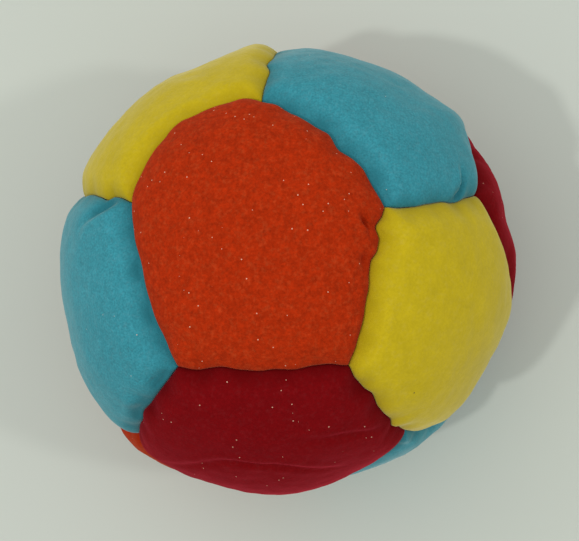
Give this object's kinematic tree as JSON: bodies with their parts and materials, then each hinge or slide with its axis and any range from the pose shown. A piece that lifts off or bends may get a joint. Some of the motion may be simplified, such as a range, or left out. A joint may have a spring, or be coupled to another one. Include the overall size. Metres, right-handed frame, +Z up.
{
  "type": "footbag",
  "caption": "Round hand-sewn footbag of five-sided suede panels in orange, yellow, teal and red, filled with sand and lying slumped on its base panel.",
  "frame": {"origin": "On the table, under the middle of the bag: the centre of the flat patch that the bag rests on.", "axes": "+Z is up, through the middle of the top panel. -Y is the front, towards the red upper panel. +X is to the right of the front. The five upper panels stand at 72 degree steps round +Z."},
  "size_m": [0.0504, 0.0507, 0.0425],
  "materials": {
    "suede_orange": "matt synthetic suede with a coarse short nap, orange, sand dust caught in it",
    "suede_yellow": "matt synthetic suede with a fine brushed nap, yellow",
    "suede_teal": "matt synthetic suede with a fine brushed nap, teal",
    "suede_red": "matt synthetic suede with a fine brushed nap, dark red",
    "waxed_thread": "waxed polyester thread, off-white, slightly glossy",
    "sand": "loose dry fine sand"
  },
  "bodies": {
    "root": {"base_panel": "suede_yellow", "lower_back_panel": "suede_orange", "lower_front_left_panel": "suede_orange", "lower_front_right_panel": "suede_teal", "lower_left_panel": "suede_red", "lower_right_panel": "suede_red", "sand_fill": "sand", "thread_lower_back_to_base": "waxed_thread", "thread_lower_back_to_lower_left": "waxed_thread", "thread_lower_front_left_to_base": "waxed_thread", "thread_lower_front_right_to_base": "waxed_thread", "thread_lower_front_right_to_lower_front_left": "waxed_thread", "thread_lower_front_right_to_lower_right": "waxed_thread", "thread_lower_left_to_base": "waxed_thread", "thread_lower_left_to_lower_front_left": "waxed_thread", "thread_lower_right_to_base": "waxed_thread", "thread_lower_right_to_lower_back": "waxed_thread", "thread_top_to_upper_back_left": "waxed_thread", "thread_top_to_upper_back_right": "waxed_thread", "thread_top_to_upper_front": "waxed_thread", "thread_top_to_upper_left": "waxed_thread", "thread_top_to_upper_right": "waxed_thread", "thread_upper_back_left_to_lower_back": "waxed_thread", "thread_upper_back_left_to_lower_left": "waxed_thread", "thread_upper_back_left_to_upper_left": "waxed_thread", "thread_upper_back_right_to_lower_back": "waxed_thread", "thread_upper_back_right_to_lower_right": "waxed_thread", "thread_upper_back_right_to_upper_back_left": "waxed_thread", "thread_upper_front_to_lower_front_left": "waxed_thread", "thread_upper_front_to_lower_front_right": "waxed_thread", "thread_upper_front_to_upper_left": "waxed_thread", "thread_upper_front_to_upper_right": "waxed_thread", "thread_upper_left_to_lower_front_left": "waxed_thread", "thread_upper_left_to_lower_left": "waxed_thread", "thread_upper_right_to_lower_front_right": "waxed_thread", "thread_upper_right_to_lower_right": "waxed_thread", "thread_upper_right_to_upper_back_right": "waxed_thread", "top_panel": "suede_orange", "upper_back_left_panel": "suede_yellow", "upper_back_right_panel": "suede_teal", "upper_front_panel": "suede_red", "upper_left_panel": "suede_teal", "upper_right_panel": "suede_yellow"}
  },
  "joints": []
}
